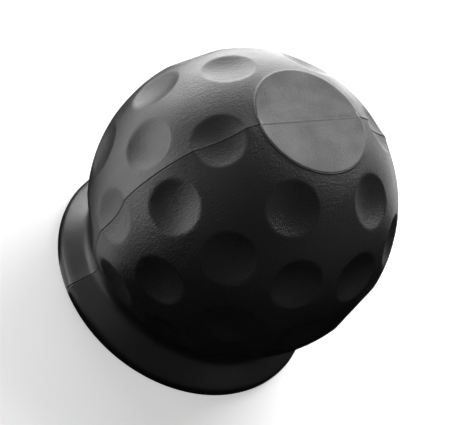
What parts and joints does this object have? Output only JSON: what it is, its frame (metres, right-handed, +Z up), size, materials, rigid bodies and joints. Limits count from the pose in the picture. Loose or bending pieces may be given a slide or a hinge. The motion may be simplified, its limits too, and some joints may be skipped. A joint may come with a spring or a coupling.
{
  "type": "tow ball cover",
  "caption": "Dimpled black rubber ball with a flat crown disc and a flared skirt, hollow inside, that snaps down over a 50 mm tow ball to cover and cushion it.",
  "frame": {"origin": "centre of the rim's flat underside, on the axis of the ball", "axes": "+Z up along the axis, from the open rim to the flat crown disc; the mould line lies in the XZ plane, and +X runs towards a dimple of the crown ring"},
  "size_m": [0.0712, 0.0708, 0.0679],
  "materials": {
    "rubber": "satin moulded rubber with a fine leathery grain"
  },
  "bodies": {
    "root": {"cover": "rubber"}
  },
  "joints": []
}
